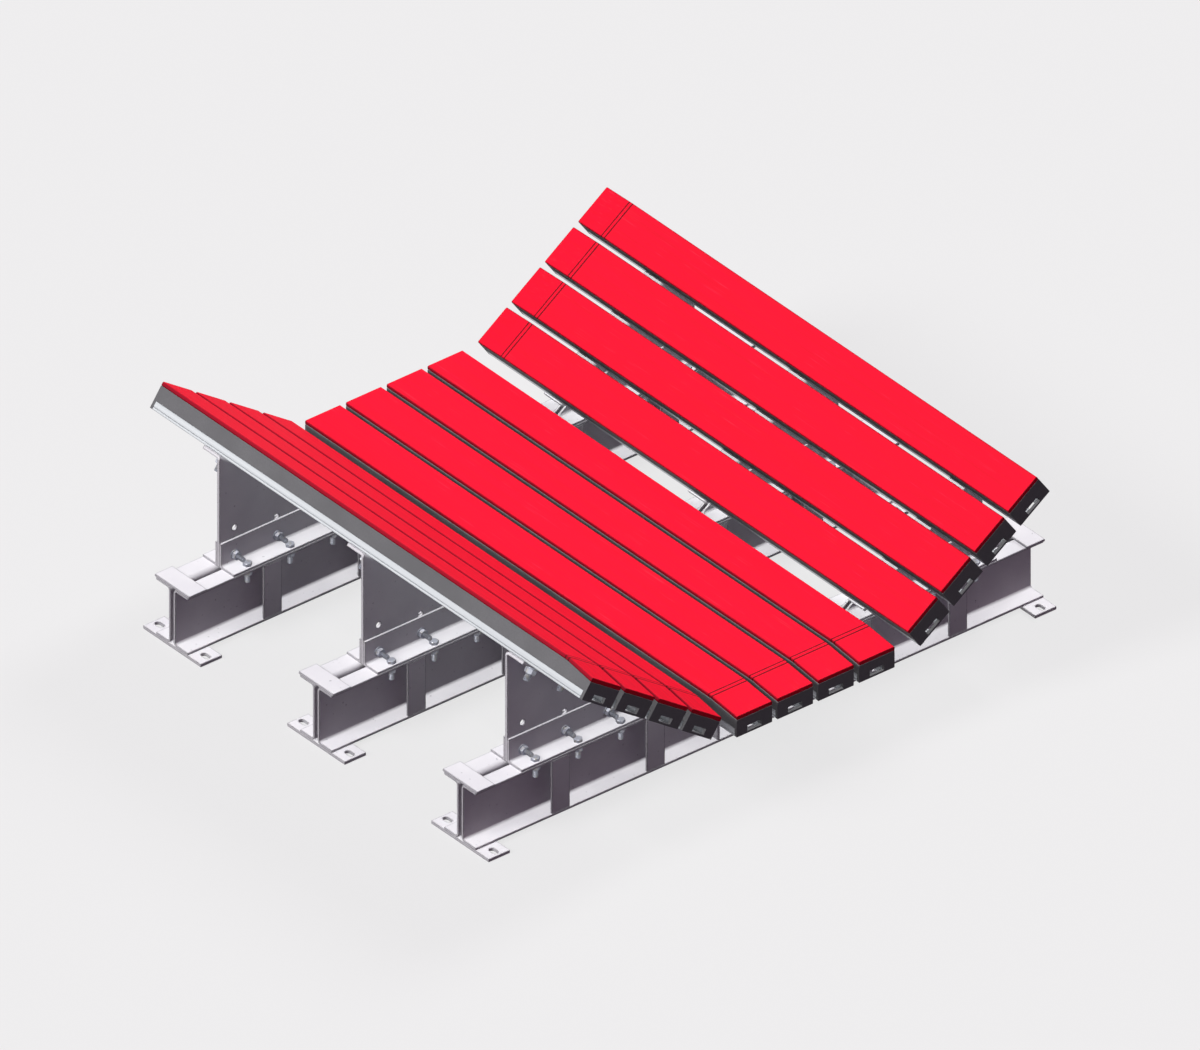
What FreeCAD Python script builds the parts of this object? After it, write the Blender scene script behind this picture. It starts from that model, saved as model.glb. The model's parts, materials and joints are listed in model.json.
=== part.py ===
import FreeCAD, Part
import os
import Sketcher

# A conveyor impact bed: impact bars on three cross beams, flat in the middle and tilted on two wings.
# X runs along the bars, Y across the bed, Z up. The origin is on the floor under the middle of the bed.
# Lengths are in millimetres and angles in degrees.
DIMENSIONS = {
    # impact bar: wear strip on rubber on an aluminium track
    "bar_length": 1500,
    "bar_width": 100,
    "bar_pitch": 115,
    "wear_thickness": 10,
    "wear_chamfer": 2,
    "rubber_height": 35,
    "track_height": 20,
    "track_wall": 6,
    "chamber_wall": 4,
    "groove_rise": 5,
    "groove_depth": 1.5,
    "lead_length": 93,
    "lead_drop": 10.5,
    "lead_radius": 90,
    "end_wall": 8,
    # T-slot and the T-bolts in it
    "slot_lip": 5.5,
    "slot_headroom": 4,
    "slot_side_clearance": 1,
    "shank_clearance": 1,
    "seat_clearance": 0.2,
    "tbolt_diameter": 16,
    "tbolt_head_length": 38,
    "tbolt_head_width": 24,
    "tbolt_head_thickness": 10,
    "tbolt_neck": 11.5,
    "tbolt_core": 13.5,
    "tbolt_tail": 13.5,
    "tbolt_wing_offset": 36,
    "tbolt_centre_offset": 34,
    "nut_flats": 24,
    "nut_height": 18.5,
    "nut_clearance": 0.15,
    # cross beams of two channels back to back
    "beam_spacing": 500,
    "beam_overhang": 130,
    "beam_step": 10,
    "channel_height": 150,
    "channel_flange": 50,
    "channel_wall": 6,
    "channel_bend": 6,
    "channel_gap": 10,
    "foot_length": 200,
    "foot_width": 60,
    "foot_thickness": 8,
    "foot_slot_edge": 20,
    "foot_slot_length": 26,
    "foot_slot_width": 14,
    "tie_overhang": 5,
    "tie_width": 50,
    "tie_thickness": 6,
    "saddle_overhang": 11.5,
    "saddle_thickness": 6,
    "strip_width": 50,
    "strip_thickness": 6,
    "rib_thickness": 6,
    "rib_corner": 10,
    # wings
    "trough_angle": 35,
    "setting_step": 5,
    "setting_pivot_inset": 27.5,
    "wing_gap": 69.5,
    "wing_rise": 28.5,
    "wing_margin": 10,
    "bar_inset": 4,
    "plate_thickness": 8,
    "plate_flange": 60,
    "fold_radius": 2,
    "bolt_pitch": 120,
    "plate_bolt_edge": 38,
    "plate_bolt_rise": 24,
    "plate_hole_diameter": 14,
    "angle_bolt_edge": 50,
    "angle_upright": 63,
    "angle_leg": 50,
    "angle_thickness": 6,
    "angle_root": 6,
    "angle_clearance": 12,
}
BARS_PER_BANK = 4
NUT_SIDES = 6
# Round shapes that repeat are drawn with flats, so that the many copies stay light
TAIL_SIDES = 6
HOLE_SIDES = 12
# Holes for flatter troughs that stand clear of the angles: steps down from this angle, bolt in its row
SPARE_HOLES = ((1, 0), (2, 0), (2, 1))
BEAMS = {"rear": -1, "middle": 0, "front": 1}
FLANGE_SIDE = {"rear": -1, "middle": -1, "front": 1}
SIDES = {"left": -1, "right": 1}

# Sizes and places that follow from the driving dimensions, as expressions over the sheet
TILT = "Dims.trough_angle"
LEAD_ANGLE = "atan(Dims.lead_drop / Dims.lead_length)"
RUBBER_TOP = "(Dims.track_height + Dims.rubber_height)"
TRACK_LENGTH = "(Dims.bar_length - 2 * Dims.end_wall)"
SLOT_HALF = "(Dims.tbolt_head_length / 2 + Dims.slot_side_clearance)"
NECK_HALF = "(Dims.tbolt_diameter / 2 + Dims.shank_clearance)"
SLOT_TOP = "(Dims.slot_lip + Dims.tbolt_head_thickness + Dims.slot_headroom)"
HAT_HALF = f"({SLOT_HALF} + Dims.track_wall)"
HAT_TOP = f"({SLOT_TOP} + Dims.track_wall)"
BANK_WIDTH = f"({BARS_PER_BANK - 1} * Dims.bar_pitch + Dims.bar_width)"
BEAM_TOP = "(Dims.foot_thickness + Dims.channel_height)"
CENTRE_SEAT = f"({BEAM_TOP} + Dims.saddle_thickness)"
PAIR_HALF = "(Dims.channel_gap / 2 + Dims.channel_flange)"
TOE = f"({BANK_WIDTH} / 2 + Dims.wing_gap)"
WING_REACH = f"(({BANK_WIDTH} + Dims.bar_inset) * cos({TILT}) + Dims.wing_margin)"
BEAM_HALF = f"(round(({TOE} + {WING_REACH} + Dims.beam_overhang) / Dims.beam_step) * Dims.beam_step)"
FOLD_DEPTH = "(Dims.plate_thickness + Dims.fold_radius)"
WING_END = f"(({WING_REACH} - {FOLD_DEPTH} * sin({TILT})) / cos({TILT}))"
ANGLE_INSET = (
    f"((Dims.wing_rise - Dims.angle_clearance / cos({TILT}) - Dims.angle_thickness) / tan({TILT}))"
)
ANGLE_LENGTH = f"({WING_REACH} + {ANGLE_INSET})"
CENTRE_GRIP = "(Dims.saddle_thickness + Dims.channel_wall)"
TBOLT_DROP = f"({CENTRE_GRIP} + Dims.nut_height + Dims.tbolt_tail)"


def shift(x="0", y="0", z="0", turn="0", axis="0; 0; 1"):
    """Return a placement expression: a turn about an axis, then a move."""
    return f"placement(vector({x}; {y}; {z}); rotation(vector({axis}); {turn}))"


WING = shift(y=TOE, z=f"{BEAM_TOP} + Dims.wing_rise", turn=TILT, axis="1; 0; 0")
SIDE_TURN = {"right": shift(), "left": shift(turn="180")}


def in_wing(across, up):
    """Return the wing's own coordinates of a point given across and up from the wing's toe."""
    return (
        f"({across}) * cos({TILT}) + ({up}) * sin({TILT})",
        f"({up}) * cos({TILT}) - ({across}) * sin({TILT})",
    )


def bar_centre(bar):
    """Return the place across a wing of the middle of one of its bars, counted from the toe."""
    return f"(Dims.bar_inset + Dims.bar_width / 2 + {bar - 1} * Dims.bar_pitch)"


def add_sheet(doc):
    """Write the driving dimensions into a sheet, one named cell each."""
    sheet = doc.addObject("Spreadsheet::Sheet", "Dims")
    for row, (alias, value) in enumerate(DIMENSIONS.items(), start=1):
        sheet.set(f"A{row}", alias)
        sheet.set(f"B{row}", str(value))
        sheet.setAlias(f"B{row}", alias)
    doc.recompute()


def add_body(doc, name):
    """Start the master solid of a sub-part."""
    body = doc.addObject("PartDesign::Body", name)
    body.Label = f"{name}_master"
    return body


def add_sketch(body, role, name, lift="0"):
    """Start a sketch on one of the body's own planes, lifted along the plane's normal."""
    sketch = body.newObject("Sketcher::SketchObject", name)
    plane = next(feature for feature in body.Origin.OriginFeatures if feature.Role == role)
    sketch.AttachmentSupport = [(plane, "")]
    sketch.MapMode = "FlatFace"
    sketch.setExpression("AttachmentOffset.Base.z", lift)
    return sketch


def number(owner, expression):
    """Return the present value of an expression over the sheet."""
    return float(owner.evalExpression(expression))


def point(owner, place):
    """Return the present place of a pair of expressions in a sketch."""
    return FreeCAD.Vector(number(owner, place[0]), number(owner, place[1]), 0)


def pin_point(sketch, element, end, place):
    """Tie one point of a sketch element to the sheet."""
    for kind, expression in zip(("DistanceX", "DistanceY"), place):
        rule = Sketcher.Constraint(kind, -1, 1, element, end, number(sketch, expression))
        sketch.setExpression(f"Constraints[{sketch.addConstraint(rule)}]", expression)


def draw_polygon(sketch, corners):
    """Draw a closed outline of straight lines."""
    points = [point(sketch, corner) for corner in corners]
    first, count = sketch.GeometryCount, len(points)
    for index, start in enumerate(points):
        sketch.addGeometry(Part.LineSegment(start, points[(index + 1) % count]))
    for index, corner in enumerate(corners):
        following = first + (index + 1) % count
        sketch.addConstraint(Sketcher.Constraint("Coincident", first + index, 2, following, 1))
        pin_point(sketch, first + index, 1, corner)


def draw_rectangle(sketch, low, high):
    """Draw a rectangle between two opposite corners."""
    draw_polygon(sketch, [low, (high[0], low[1]), high, (low[0], high[1])])


def draw_square(sketch, centre, half):
    """Draw a square about a centre."""
    low, high = (tuple(f"{middle} {sign} {half}" for middle in centre) for sign in "-+")
    draw_rectangle(sketch, low, high)


def draw_regular(sketch, sides, flats, centre=("0", "0")):
    """Draw a regular polygon of a given width across its flats."""
    radius = f"({flats}) / 2 / cos({180 / sides})"
    turns = [360 * (corner + 0.5) / sides for corner in range(sides)]
    corners = [
        (f"{centre[0]} + {radius} * cos({turn})", f"{centre[1]} + {radius} * sin({turn})")
        for turn in turns
    ]
    draw_polygon(sketch, corners)


def draw_slot(sketch, centre, length, width):
    """Draw a round-ended slot that runs along the sketch's first axis."""
    half_run = f"(({length}) - ({width})) / 2"
    corners = [
        (f"{centre[0]} - {half_run}", f"{centre[1]} - ({width}) / 2"),
        (f"{centre[0]} + {half_run}", f"{centre[1]} - ({width}) / 2"),
        (f"{centre[0]} + {half_run}", f"{centre[1]} + ({width}) / 2"),
        (f"{centre[0]} - {half_run}", f"{centre[1]} + ({width}) / 2"),
    ]
    tips = {
        "right": (f"{centre[0]} + ({length}) / 2", centre[1]),
        "left": (f"{centre[0]} - ({length}) / 2", centre[1]),
    }
    low_left, low_right, high_right, high_left = (point(sketch, corner) for corner in corners)
    bottom = sketch.addGeometry(Part.LineSegment(low_left, low_right))
    right = sketch.addGeometry(Part.Arc(low_right, point(sketch, tips["right"]), high_right))
    top = sketch.addGeometry(Part.LineSegment(high_right, high_left))
    left = sketch.addGeometry(Part.Arc(high_left, point(sketch, tips["left"]), low_left))
    joins = ((bottom, 2, right, 1), (right, 2, top, 1), (top, 2, left, 1), (left, 2, bottom, 1))
    for join in joins:
        sketch.addConstraint(Sketcher.Constraint("Coincident", *join))
    for element, end, corner in zip((bottom, bottom, top, top), (1, 2, 1, 2), corners):
        pin_point(sketch, element, end, corner)
    for arc, corner in ((right, corners[1]), (left, corners[0])):
        rule = Sketcher.Constraint("DistanceX", -1, 1, arc, 3, number(sketch, corner[0]))
        sketch.setExpression(f"Constraints[{sketch.addConstraint(rule)}]", corner[0])


def extrude(body, kind, sketch, length, midplane=False, reverse=False):
    """Add or cut the sketch's outline over a length."""
    feature = body.newObject(f"PartDesign::{kind}", kind)
    feature.Profile = sketch
    feature.setExpression("Length", length)
    feature.Midplane = midplane
    feature.Reversed = reverse
    body.Document.recompute()
    return feature


def edges_at(shape, **place):
    """Name the edges that lie wholly at the given x, y or z."""
    slack = 0.01
    names = []
    for index, edge in enumerate(shape.Edges, start=1):
        box = edge.BoundBox
        spans = {"x": (box.XMin, box.XMax), "y": (box.YMin, box.YMax), "z": (box.ZMin, box.ZMax)}
        if all(abs(end - value) < slack for key, value in place.items() for end in spans[key]):
            names.append(f"Edge{index}")
    return names


def round_edges(body, radius, **place):
    """Round the edges at a place given as expressions."""
    base = body.Tip
    spots = {key: number(base, expression) for key, expression in place.items()}
    feature = body.newObject("PartDesign::Fillet", "Fillet")
    feature.Base = (base, edges_at(base.Shape, **spots))
    feature.setExpression("Radius", radius)
    body.Document.recompute()


def lead_in(height):
    """Return the bend corner and the end corner of a line along the bar at a height over the rubber."""
    return (
        (
            f"Dims.bar_length / 2 - Dims.lead_length + {height} * tan({LEAD_ANGLE} / 2)",
            f"{RUBBER_TOP} + {height}",
        ),
        ("Dims.bar_length / 2", f"{RUBBER_TOP} - Dims.lead_drop + {height} / cos({LEAD_ANGLE})"),
    )


def make_wear_strip(doc):
    """The slippery top layer, bent down at the lead-in end."""
    body = add_body(doc, "wear_strip")
    sketch = add_sketch(body, "XZ_Plane", "side_outline")
    under_bend, under_end = lead_in("0")
    over_bend, over_end = lead_in("Dims.wear_thickness")
    tail = "-Dims.bar_length / 2"
    draw_polygon(
        sketch,
        [(tail, under_bend[1]), under_bend, under_end, over_end, over_bend, (tail, over_bend[1])],
    )
    extrude(body, "Pad", sketch, "Dims.bar_width", midplane=True)
    round_edges(body, "Dims.lead_radius", x=under_bend[0], z=under_bend[1])
    round_edges(body, "Dims.lead_radius + Dims.wear_thickness", x=over_bend[0], z=over_bend[1])
    base = body.Tip
    half_width = number(base, "Dims.bar_width / 2")
    middle = number(base, f"{RUBBER_TOP} + Dims.wear_thickness / 2 - Dims.lead_drop / 2")
    long_edges = [
        name
        for side in (-half_width, half_width)
        for name in edges_at(base.Shape, y=side)
        if is_upper_edge(base.Shape.getElement(name), middle)
    ]
    chamfer = body.newObject("PartDesign::Chamfer", "Chamfer")
    chamfer.Base = (base, long_edges)
    chamfer.setExpression("Size", "Dims.wear_chamfer")
    return body


def is_upper_edge(edge, height):
    """Tell whether an edge runs along the bar's top rather than its underside or end."""
    return edge.BoundBox.XLength > 1 and edge.BoundBox.ZMin > height


def slot_corners():
    """Return one half of the T-slot's outline, from the mouth inwards."""
    return [
        (NECK_HALF, "0"),
        (NECK_HALF, "Dims.slot_lip"),
        (SLOT_HALF, "Dims.slot_lip"),
        (SLOT_HALF, SLOT_TOP),
    ]


def mirrored(corners):
    """Return the corners reflected across the middle, in the opposite order."""
    return [(f"-({across})", up) for across, up in reversed(corners)]


def make_rubber(doc):
    """The rubber block, moulded over the track and closing its ends but for a window on the T-slot."""
    body = add_body(doc, "rubber")
    outline = add_sketch(body, "XZ_Plane", "side_outline")
    bend, end = lead_in("0")
    tail = "-Dims.bar_length / 2"
    draw_polygon(outline, [(tail, "0"), ("Dims.bar_length / 2", "0"), end, bend, (tail, bend[1])])
    extrude(body, "Pad", outline, "Dims.bar_width", midplane=True)
    round_edges(body, "Dims.lead_radius", x=bend[0], z=bend[1])
    seat = add_sketch(body, "YZ_Plane", "track_seat")
    half_seat = [
        ("Dims.bar_width / 2", "0"),
        ("Dims.bar_width / 2", "Dims.track_height"),
        (HAT_HALF, "Dims.track_height"),
        (HAT_HALF, HAT_TOP),
    ]
    draw_polygon(seat, half_seat + mirrored(half_seat))
    extrude(body, "Pocket", seat, TRACK_LENGTH, midplane=True)
    window = add_sketch(body, "YZ_Plane", "slot_window")
    draw_rectangle(window, (f"-{SLOT_HALF}", "Dims.slot_lip"), (SLOT_HALF, SLOT_TOP))
    extrude(body, "Pocket", window, "Dims.bar_length", midplane=True)
    return body


def make_track(doc):
    """The extruded track: a T-slot under a hat, with a hollow flank and a groove on each side."""
    body = add_body(doc, "track")
    section = add_sketch(body, "YZ_Plane", "section")
    groove = [
        ("Dims.bar_width / 2", "Dims.groove_rise"),
        ("Dims.bar_width / 2 - Dims.groove_depth", "Dims.groove_rise + Dims.groove_depth / 2"),
        ("Dims.bar_width / 2", "Dims.groove_rise + Dims.groove_depth"),
    ]
    outside = [("Dims.bar_width / 2", "0"), *groove, ("Dims.bar_width / 2", "Dims.track_height")]
    half = slot_corners()[::-1] + outside + [(HAT_HALF, "Dims.track_height"), (HAT_HALF, HAT_TOP)]
    draw_polygon(section, half + mirrored(half))
    chamber = (
        (HAT_HALF, "Dims.chamber_wall"),
        ("Dims.bar_width / 2 - Dims.chamber_wall", "Dims.track_height - Dims.chamber_wall"),
    )
    draw_rectangle(section, *chamber)
    draw_rectangle(section, *mirrored(chamber))
    extrude(body, "Pad", section, TRACK_LENGTH, midplane=True)
    return body


def make_tbolt(doc):
    """The T-bolt, square under its head, its tail the core of its thread. The bar's underside is at zero."""
    body = add_body(doc, "t_bolt")
    seat = "Dims.slot_lip + Dims.seat_clearance"
    head = add_sketch(body, "XY_Plane", "head", lift=seat)
    corner = ("Dims.tbolt_head_width / 2", "Dims.tbolt_head_length / 2")
    draw_rectangle(head, tuple(f"-{side}" for side in corner), corner)
    extrude(body, "Pad", head, "Dims.tbolt_head_thickness")
    neck = add_sketch(body, "XY_Plane", "neck", lift=seat)
    draw_square(neck, ("0", "0"), "Dims.tbolt_diameter / 2")
    extrude(body, "Pad", neck, "Dims.tbolt_neck", reverse=True)
    tail = add_sketch(body, "XY_Plane", "tail", lift=seat)
    draw_regular(tail, TAIL_SIDES, "Dims.tbolt_core")
    extrude(body, "Pad", tail, f"{seat} + {TBOLT_DROP}", reverse=True)
    return body


def make_nut(doc):
    """The T-bolt's hexagon nut and the washer under it in one, hanging below its zero height."""
    body = add_body(doc, "t_bolt_nut")
    sketch = add_sketch(body, "XY_Plane", "hexagon")
    draw_regular(sketch, NUT_SIDES, "Dims.nut_flats")
    draw_regular(sketch, TAIL_SIDES, "Dims.tbolt_core + 2 * Dims.nut_clearance")
    extrude(body, "Pad", sketch, "Dims.nut_height", reverse=True)
    return body


def centre_bar_places():
    """Return the places across the bed of the middles of the centre bars."""
    return [f"({index - (BARS_PER_BANK - 1) / 2} * Dims.bar_pitch)" for index in range(BARS_PER_BANK)]


def make_channel(doc, name, drilled):
    """A cold-formed channel, its back at zero, drilled for T-bolts where it carries them."""
    body = add_body(doc, name)
    section = add_sketch(body, "XZ_Plane", "section")
    wall, flange, height = "Dims.channel_wall", "Dims.channel_flange", "Dims.channel_height"
    inner_top = f"{height} - {wall}"
    draw_polygon(
        section,
        [("0", "0"), (flange, "0"), (flange, wall), (wall, wall),
         (wall, inner_top), (flange, inner_top), (flange, height), ("0", height)],
    )
    extrude(body, "Pad", section, f"2 * {BEAM_HALF}", midplane=True)
    for outer, inner in (("0", wall), (height, inner_top)):
        round_edges(body, f"Dims.channel_bend + {wall}", x="0", z=outer)
        round_edges(body, "Dims.channel_bend", x=wall, z=inner)
    if drilled:
        holes = add_sketch(body, "XY_Plane", "tbolt_holes", lift=height)
        for place in centre_bar_places():
            draw_square(holes, ("Dims.tbolt_centre_offset - Dims.channel_gap / 2", place), NECK_HALF)
        extrude(body, "Pocket", holes, wall)
    return body


def make_wing_plate(doc):
    """The plate that carries a wing: an upright web and a flange folded towards -X under the bars."""
    body = add_body(doc, "wing_plate")
    web = add_sketch(body, "YZ_Plane", "web")
    fold = f"-{FOLD_DEPTH}"
    draw_polygon(
        web,
        [("0", fold), ("0", f"-Dims.wing_rise / cos({TILT})"),
         in_wing(WING_REACH, "-Dims.wing_rise"), (WING_END, fold)],
    )
    extrude(body, "Pad", web, "Dims.plate_thickness", midplane=True)
    face, skin = "Dims.plate_thickness / 2", "-Dims.plate_thickness"
    tip = f"{face} - Dims.plate_flange"
    flange = add_sketch(body, "XZ_Plane", "folded_flange")
    draw_polygon(
        flange,
        [(face, fold), (face, "0"), (tip, "0"), (tip, skin), (f"-{face}", skin), (f"-{face}", fold)],
    )
    extrude(body, "Pad", flange, WING_END, reverse=True)
    round_edges(body, FOLD_DEPTH, x=face, z="0")
    round_edges(body, "Dims.fold_radius", x=f"-{face}", z=skin)
    punched = add_sketch(body, "XY_Plane", "tbolt_holes")
    for bar in range(1, BARS_PER_BANK + 1):
        draw_square(punched, ("-Dims.tbolt_wing_offset", bar_centre(bar)), NECK_HALF)
    extrude(body, "Pocket", punched, "Dims.plate_thickness")
    spares = add_sketch(body, "YZ_Plane", "spare_setting_holes")
    for steps, bolt in SPARE_HOLES:
        inset, turn = "Dims.setting_pivot_inset", f"{steps} * Dims.setting_step"
        arm = f"({inset} + {WING_REACH} - Dims.plate_bolt_edge - {bolt} * Dims.bolt_pitch)"
        across = f"{arm} * cos({turn}) - {inset}"
        up = f"{arm} * sin({turn}) + Dims.plate_bolt_rise - Dims.wing_rise"
        draw_regular(spares, HOLE_SIDES, "Dims.plate_hole_diameter", in_wing(across, up))
    extrude(body, "Pocket", spares, "2 * Dims.plate_thickness", midplane=True)
    return body


def make_angle(doc):
    """The angle on a wing plate's +X side, from its inner end outwards, mitred under the bars."""
    body = add_body(doc, "angle")
    section = add_sketch(body, "XZ_Plane", "section")
    back, wall = "Dims.plate_thickness / 2", "Dims.angle_thickness"
    toe = f"{back} + Dims.angle_leg"
    inner = f"{back} + {wall}"
    draw_polygon(
        section,
        [(back, "0"), (toe, "0"), (toe, wall), (inner, wall),
         (inner, "Dims.angle_upright"), (back, "Dims.angle_upright")],
    )
    extrude(body, "Pad", section, ANGLE_LENGTH, reverse=True)
    round_edges(body, "Dims.angle_root", x=inner, z=wall)
    mitre = add_sketch(body, "YZ_Plane", "mitre")
    run = f"(Dims.angle_upright - {wall}) / tan({TILT})"
    draw_polygon(mitre, [("0", wall), (run, "Dims.angle_upright"), ("0", "Dims.angle_upright")])
    extrude(body, "Pocket", mitre, f"2 * ({toe})", midplane=True)
    return body


def make_foot_plate(doc):
    """The plate under a beam end, with two slots for holding-down bolts."""
    body = add_body(doc, "foot_plate")
    sketch = add_sketch(body, "XY_Plane", "outline")
    corner = ("Dims.foot_length / 2", "Dims.foot_width / 2")
    draw_rectangle(sketch, tuple(f"-{side}" for side in corner), corner)
    for side in ("", "-"):
        centre = (f"{side}(Dims.foot_length / 2 - Dims.foot_slot_edge)", "0")
        draw_slot(sketch, centre, "Dims.foot_slot_length", "Dims.foot_slot_width")
    extrude(body, "Pad", sketch, "Dims.foot_thickness")
    return body


def make_saddle_plate(doc):
    """The plate across both channels that the centre bars stand on."""
    body = add_body(doc, "saddle_plate")
    sketch = add_sketch(body, "XY_Plane", "outline")
    corner = (PAIR_HALF, f"({BANK_WIDTH} / 2 + Dims.saddle_overhang)")
    draw_rectangle(sketch, tuple(f"-{side}" for side in corner), corner)
    for place in centre_bar_places():
        draw_square(sketch, ("Dims.tbolt_centre_offset", place), NECK_HALF)
    extrude(body, "Pad", sketch, "Dims.saddle_thickness")
    return body


def make_rib(doc):
    """The stiffener across the inside of a channel, its corners clipped to clear the bends."""
    body = add_body(doc, "rib")
    sketch = add_sketch(body, "XZ_Plane", "outline")
    back, front = "Dims.channel_wall", "Dims.channel_flange"
    low, high = "Dims.channel_wall", "Dims.channel_height - Dims.channel_wall"
    clip = "Dims.rib_corner"
    draw_polygon(
        sketch,
        [(f"{back} + {clip}", low), (front, low), (front, high), (f"{back} + {clip}", high),
         (back, f"{high} - {clip}"), (back, f"{low} + {clip}")],
    )
    extrude(body, "Pad", sketch, "Dims.rib_thickness", midplane=True)
    return body


def make_block(doc, name, length, width, height):
    """A flat bar cut square, as a master for copies."""
    block = doc.addObject("Part::Box", name)
    block.Label = f"{name}_master"
    for size, expression in (("Length", length), ("Width", width), ("Height", height)):
        block.setExpression(size, expression)
    return block


def add_copy(doc, master, label, *places):
    """Place a copy of a master, its last place applied first."""
    copy = doc.addObject("App::Link", label)
    copy.LinkedObject = master
    copy.Label = label
    copy.setExpression("Placement", " * ".join(places))
    return copy


def add_group(doc, label, copies):
    """Gather separate solids of one kind under one name."""
    group = doc.addObject("Part::Compound", label)
    group.Label = label
    group.Links = copies
    return group


def mirror_master(doc, master):
    """Return the master's other hand, reflected across its X."""
    twin = doc.addObject("Part::Mirroring", f"{master.Name}_other_hand")
    twin.Source = master
    twin.Normal = FreeCAD.Vector(1, 0, 0)
    return twin


def beam_place(beam):
    """Return the place of a beam along the bed."""
    return shift(x=f"{BEAMS[beam]} * Dims.beam_spacing")


def place_bars(doc):
    """Set the three layers of every bar on the beams, the wings' bars turned end for end."""
    layers = {"wear_strip": make_wear_strip(doc), "rubber": make_rubber(doc), "track": make_track(doc)}
    places = {}
    for index in range(BARS_PER_BANK):
        for side, turn in SIDE_TURN.items():
            in_bank = shift(y=bar_centre(index + 1), turn="180")
            places[f"{side}_bar_{index + 1}"] = (turn, WING, in_bank)
        places[f"centre_bar_{index + 1}"] = (shift(y=centre_bar_places()[index], z=CENTRE_SEAT),)
    return [
        add_copy(doc, master, f"{bar}_{layer}", *place)
        for bar, place in places.items()
        for layer, master in layers.items()
    ]


def place_tbolts(doc):
    """Set a T-bolt with its nut under every bar on every beam."""
    bolt, nut = make_tbolt(doc), make_nut(doc)
    seats = []
    for beam, flange in FLANGE_SIDE.items():
        for index in range(BARS_PER_BANK):
            for side, turn in SIDE_TURN.items():
                along = f"{flange * SIDES[side]} * Dims.tbolt_wing_offset"
                spot = shift(x=along, y=bar_centre(index + 1))
                seats.append(((beam_place(beam), turn, WING, spot), "Dims.plate_thickness"))
            along = f"{flange} * Dims.tbolt_centre_offset"
            spot = shift(x=along, y=centre_bar_places()[index], z=CENTRE_SEAT)
            seats.append(((beam_place(beam), spot), CENTRE_GRIP))
    bolts = [add_copy(doc, bolt, f"t_bolt_{i}", *place) for i, (place, grip) in enumerate(seats)]
    nuts = [
        add_copy(doc, nut, f"t_bolt_nut_{i}", *place, shift(z=f"-{grip}"))
        for i, (place, grip) in enumerate(seats)
    ]
    return [add_group(doc, "t_bolts", bolts), add_group(doc, "t_bolt_nuts", nuts)]


def place_beams(doc):
    """Set each beam's two channels back to back, and the plates on and under them."""
    plain = make_channel(doc, "channel", drilled=False)
    drilled = make_channel(doc, "drilled_channel", drilled=True)
    saddle, foot = make_saddle_plate(doc), make_foot_plate(doc)
    tie_half = f"({PAIR_HALF} + Dims.tie_overhang)"
    tie = make_block(doc, "tie", f"2 * {tie_half}", "Dims.tie_width", "Dims.tie_thickness")
    tie_corner = shift(x=f"-{tie_half}", y=f"{BEAM_HALF} - Dims.tie_width", z=BEAM_TOP)
    foot_middle = shift(y=f"{BEAM_HALF} - Dims.foot_width / 2")
    nodes, feet, ties, saddles = [], [], [], []
    for beam, flange in FLANGE_SIDE.items():
        place = beam_place(beam)
        for row, facing in (("back", -1), ("front", 1)):
            master = drilled if facing == flange else plain
            stand = (facing_turn(facing), shift(x="Dims.channel_gap / 2", z="Dims.foot_thickness"))
            nodes.append(add_copy(doc, master, f"{beam}_beam_{row}_channel", place, *stand))
        seat = (facing_turn(flange), shift(z=BEAM_TOP))
        saddles.append(add_copy(doc, saddle, f"{beam}_saddle", place, *seat))
        for side, turn in SIDE_TURN.items():
            feet.append(add_copy(doc, foot, f"{beam}_{side}_foot", place, turn, foot_middle))
            ties.append(add_copy(doc, tie, f"{beam}_{side}_tie", place, turn, tie_corner))
    nodes.append(add_group(doc, "foot_plates", feet))
    nodes.append(add_group(doc, "tie_plates", ties))
    nodes.append(add_group(doc, "saddle_plates", saddles))
    return nodes


def facing_turn(facing):
    """Return the turn about Z that faces a master's +X side along -X or +X."""
    return shift(turn="180" if facing < 0 else "0")


def place_stiffeners(doc):
    """Set the strips between the flange tips and the ribs inside the channels."""
    inside_height = "Dims.channel_height - 2 * Dims.channel_wall"
    strip = make_block(doc, "strip", "Dims.strip_thickness", "Dims.strip_width", inside_height)
    rib = make_rib(doc)
    between_bolts = f"{TOE} + {WING_REACH} - Dims.angle_bolt_edge - Dims.bolt_pitch / 2"
    channel_back = shift(x="Dims.channel_gap / 2", z="Dims.foot_thickness")
    strips, ribs = [], []
    for beam in BEAMS:
        for row, facing in (("back", -1), ("front", 1)):
            inside = (beam_place(beam), facing_turn(facing), channel_back)
            for side, sign in SIDES.items():
                spot = f"{beam}_{row}_{side}"
                between_bars = shift(y=f"{sign} * Dims.bar_pitch")
                ribs.append(add_copy(doc, rib, f"{spot}_rib", *inside, between_bars))
                for name, middle in (("inner", TOE), ("outer", between_bolts)):
                    corner = shift(
                        x="Dims.channel_flange - Dims.strip_thickness",
                        y=f"{sign} * ({middle}) - Dims.strip_width / 2",
                        z="Dims.channel_wall",
                    )
                    strips.append(add_copy(doc, strip, f"{spot}_{name}_strip", *inside, corner))
    return [add_group(doc, "flange_strips", strips), add_group(doc, "web_stiffeners", ribs)]


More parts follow.
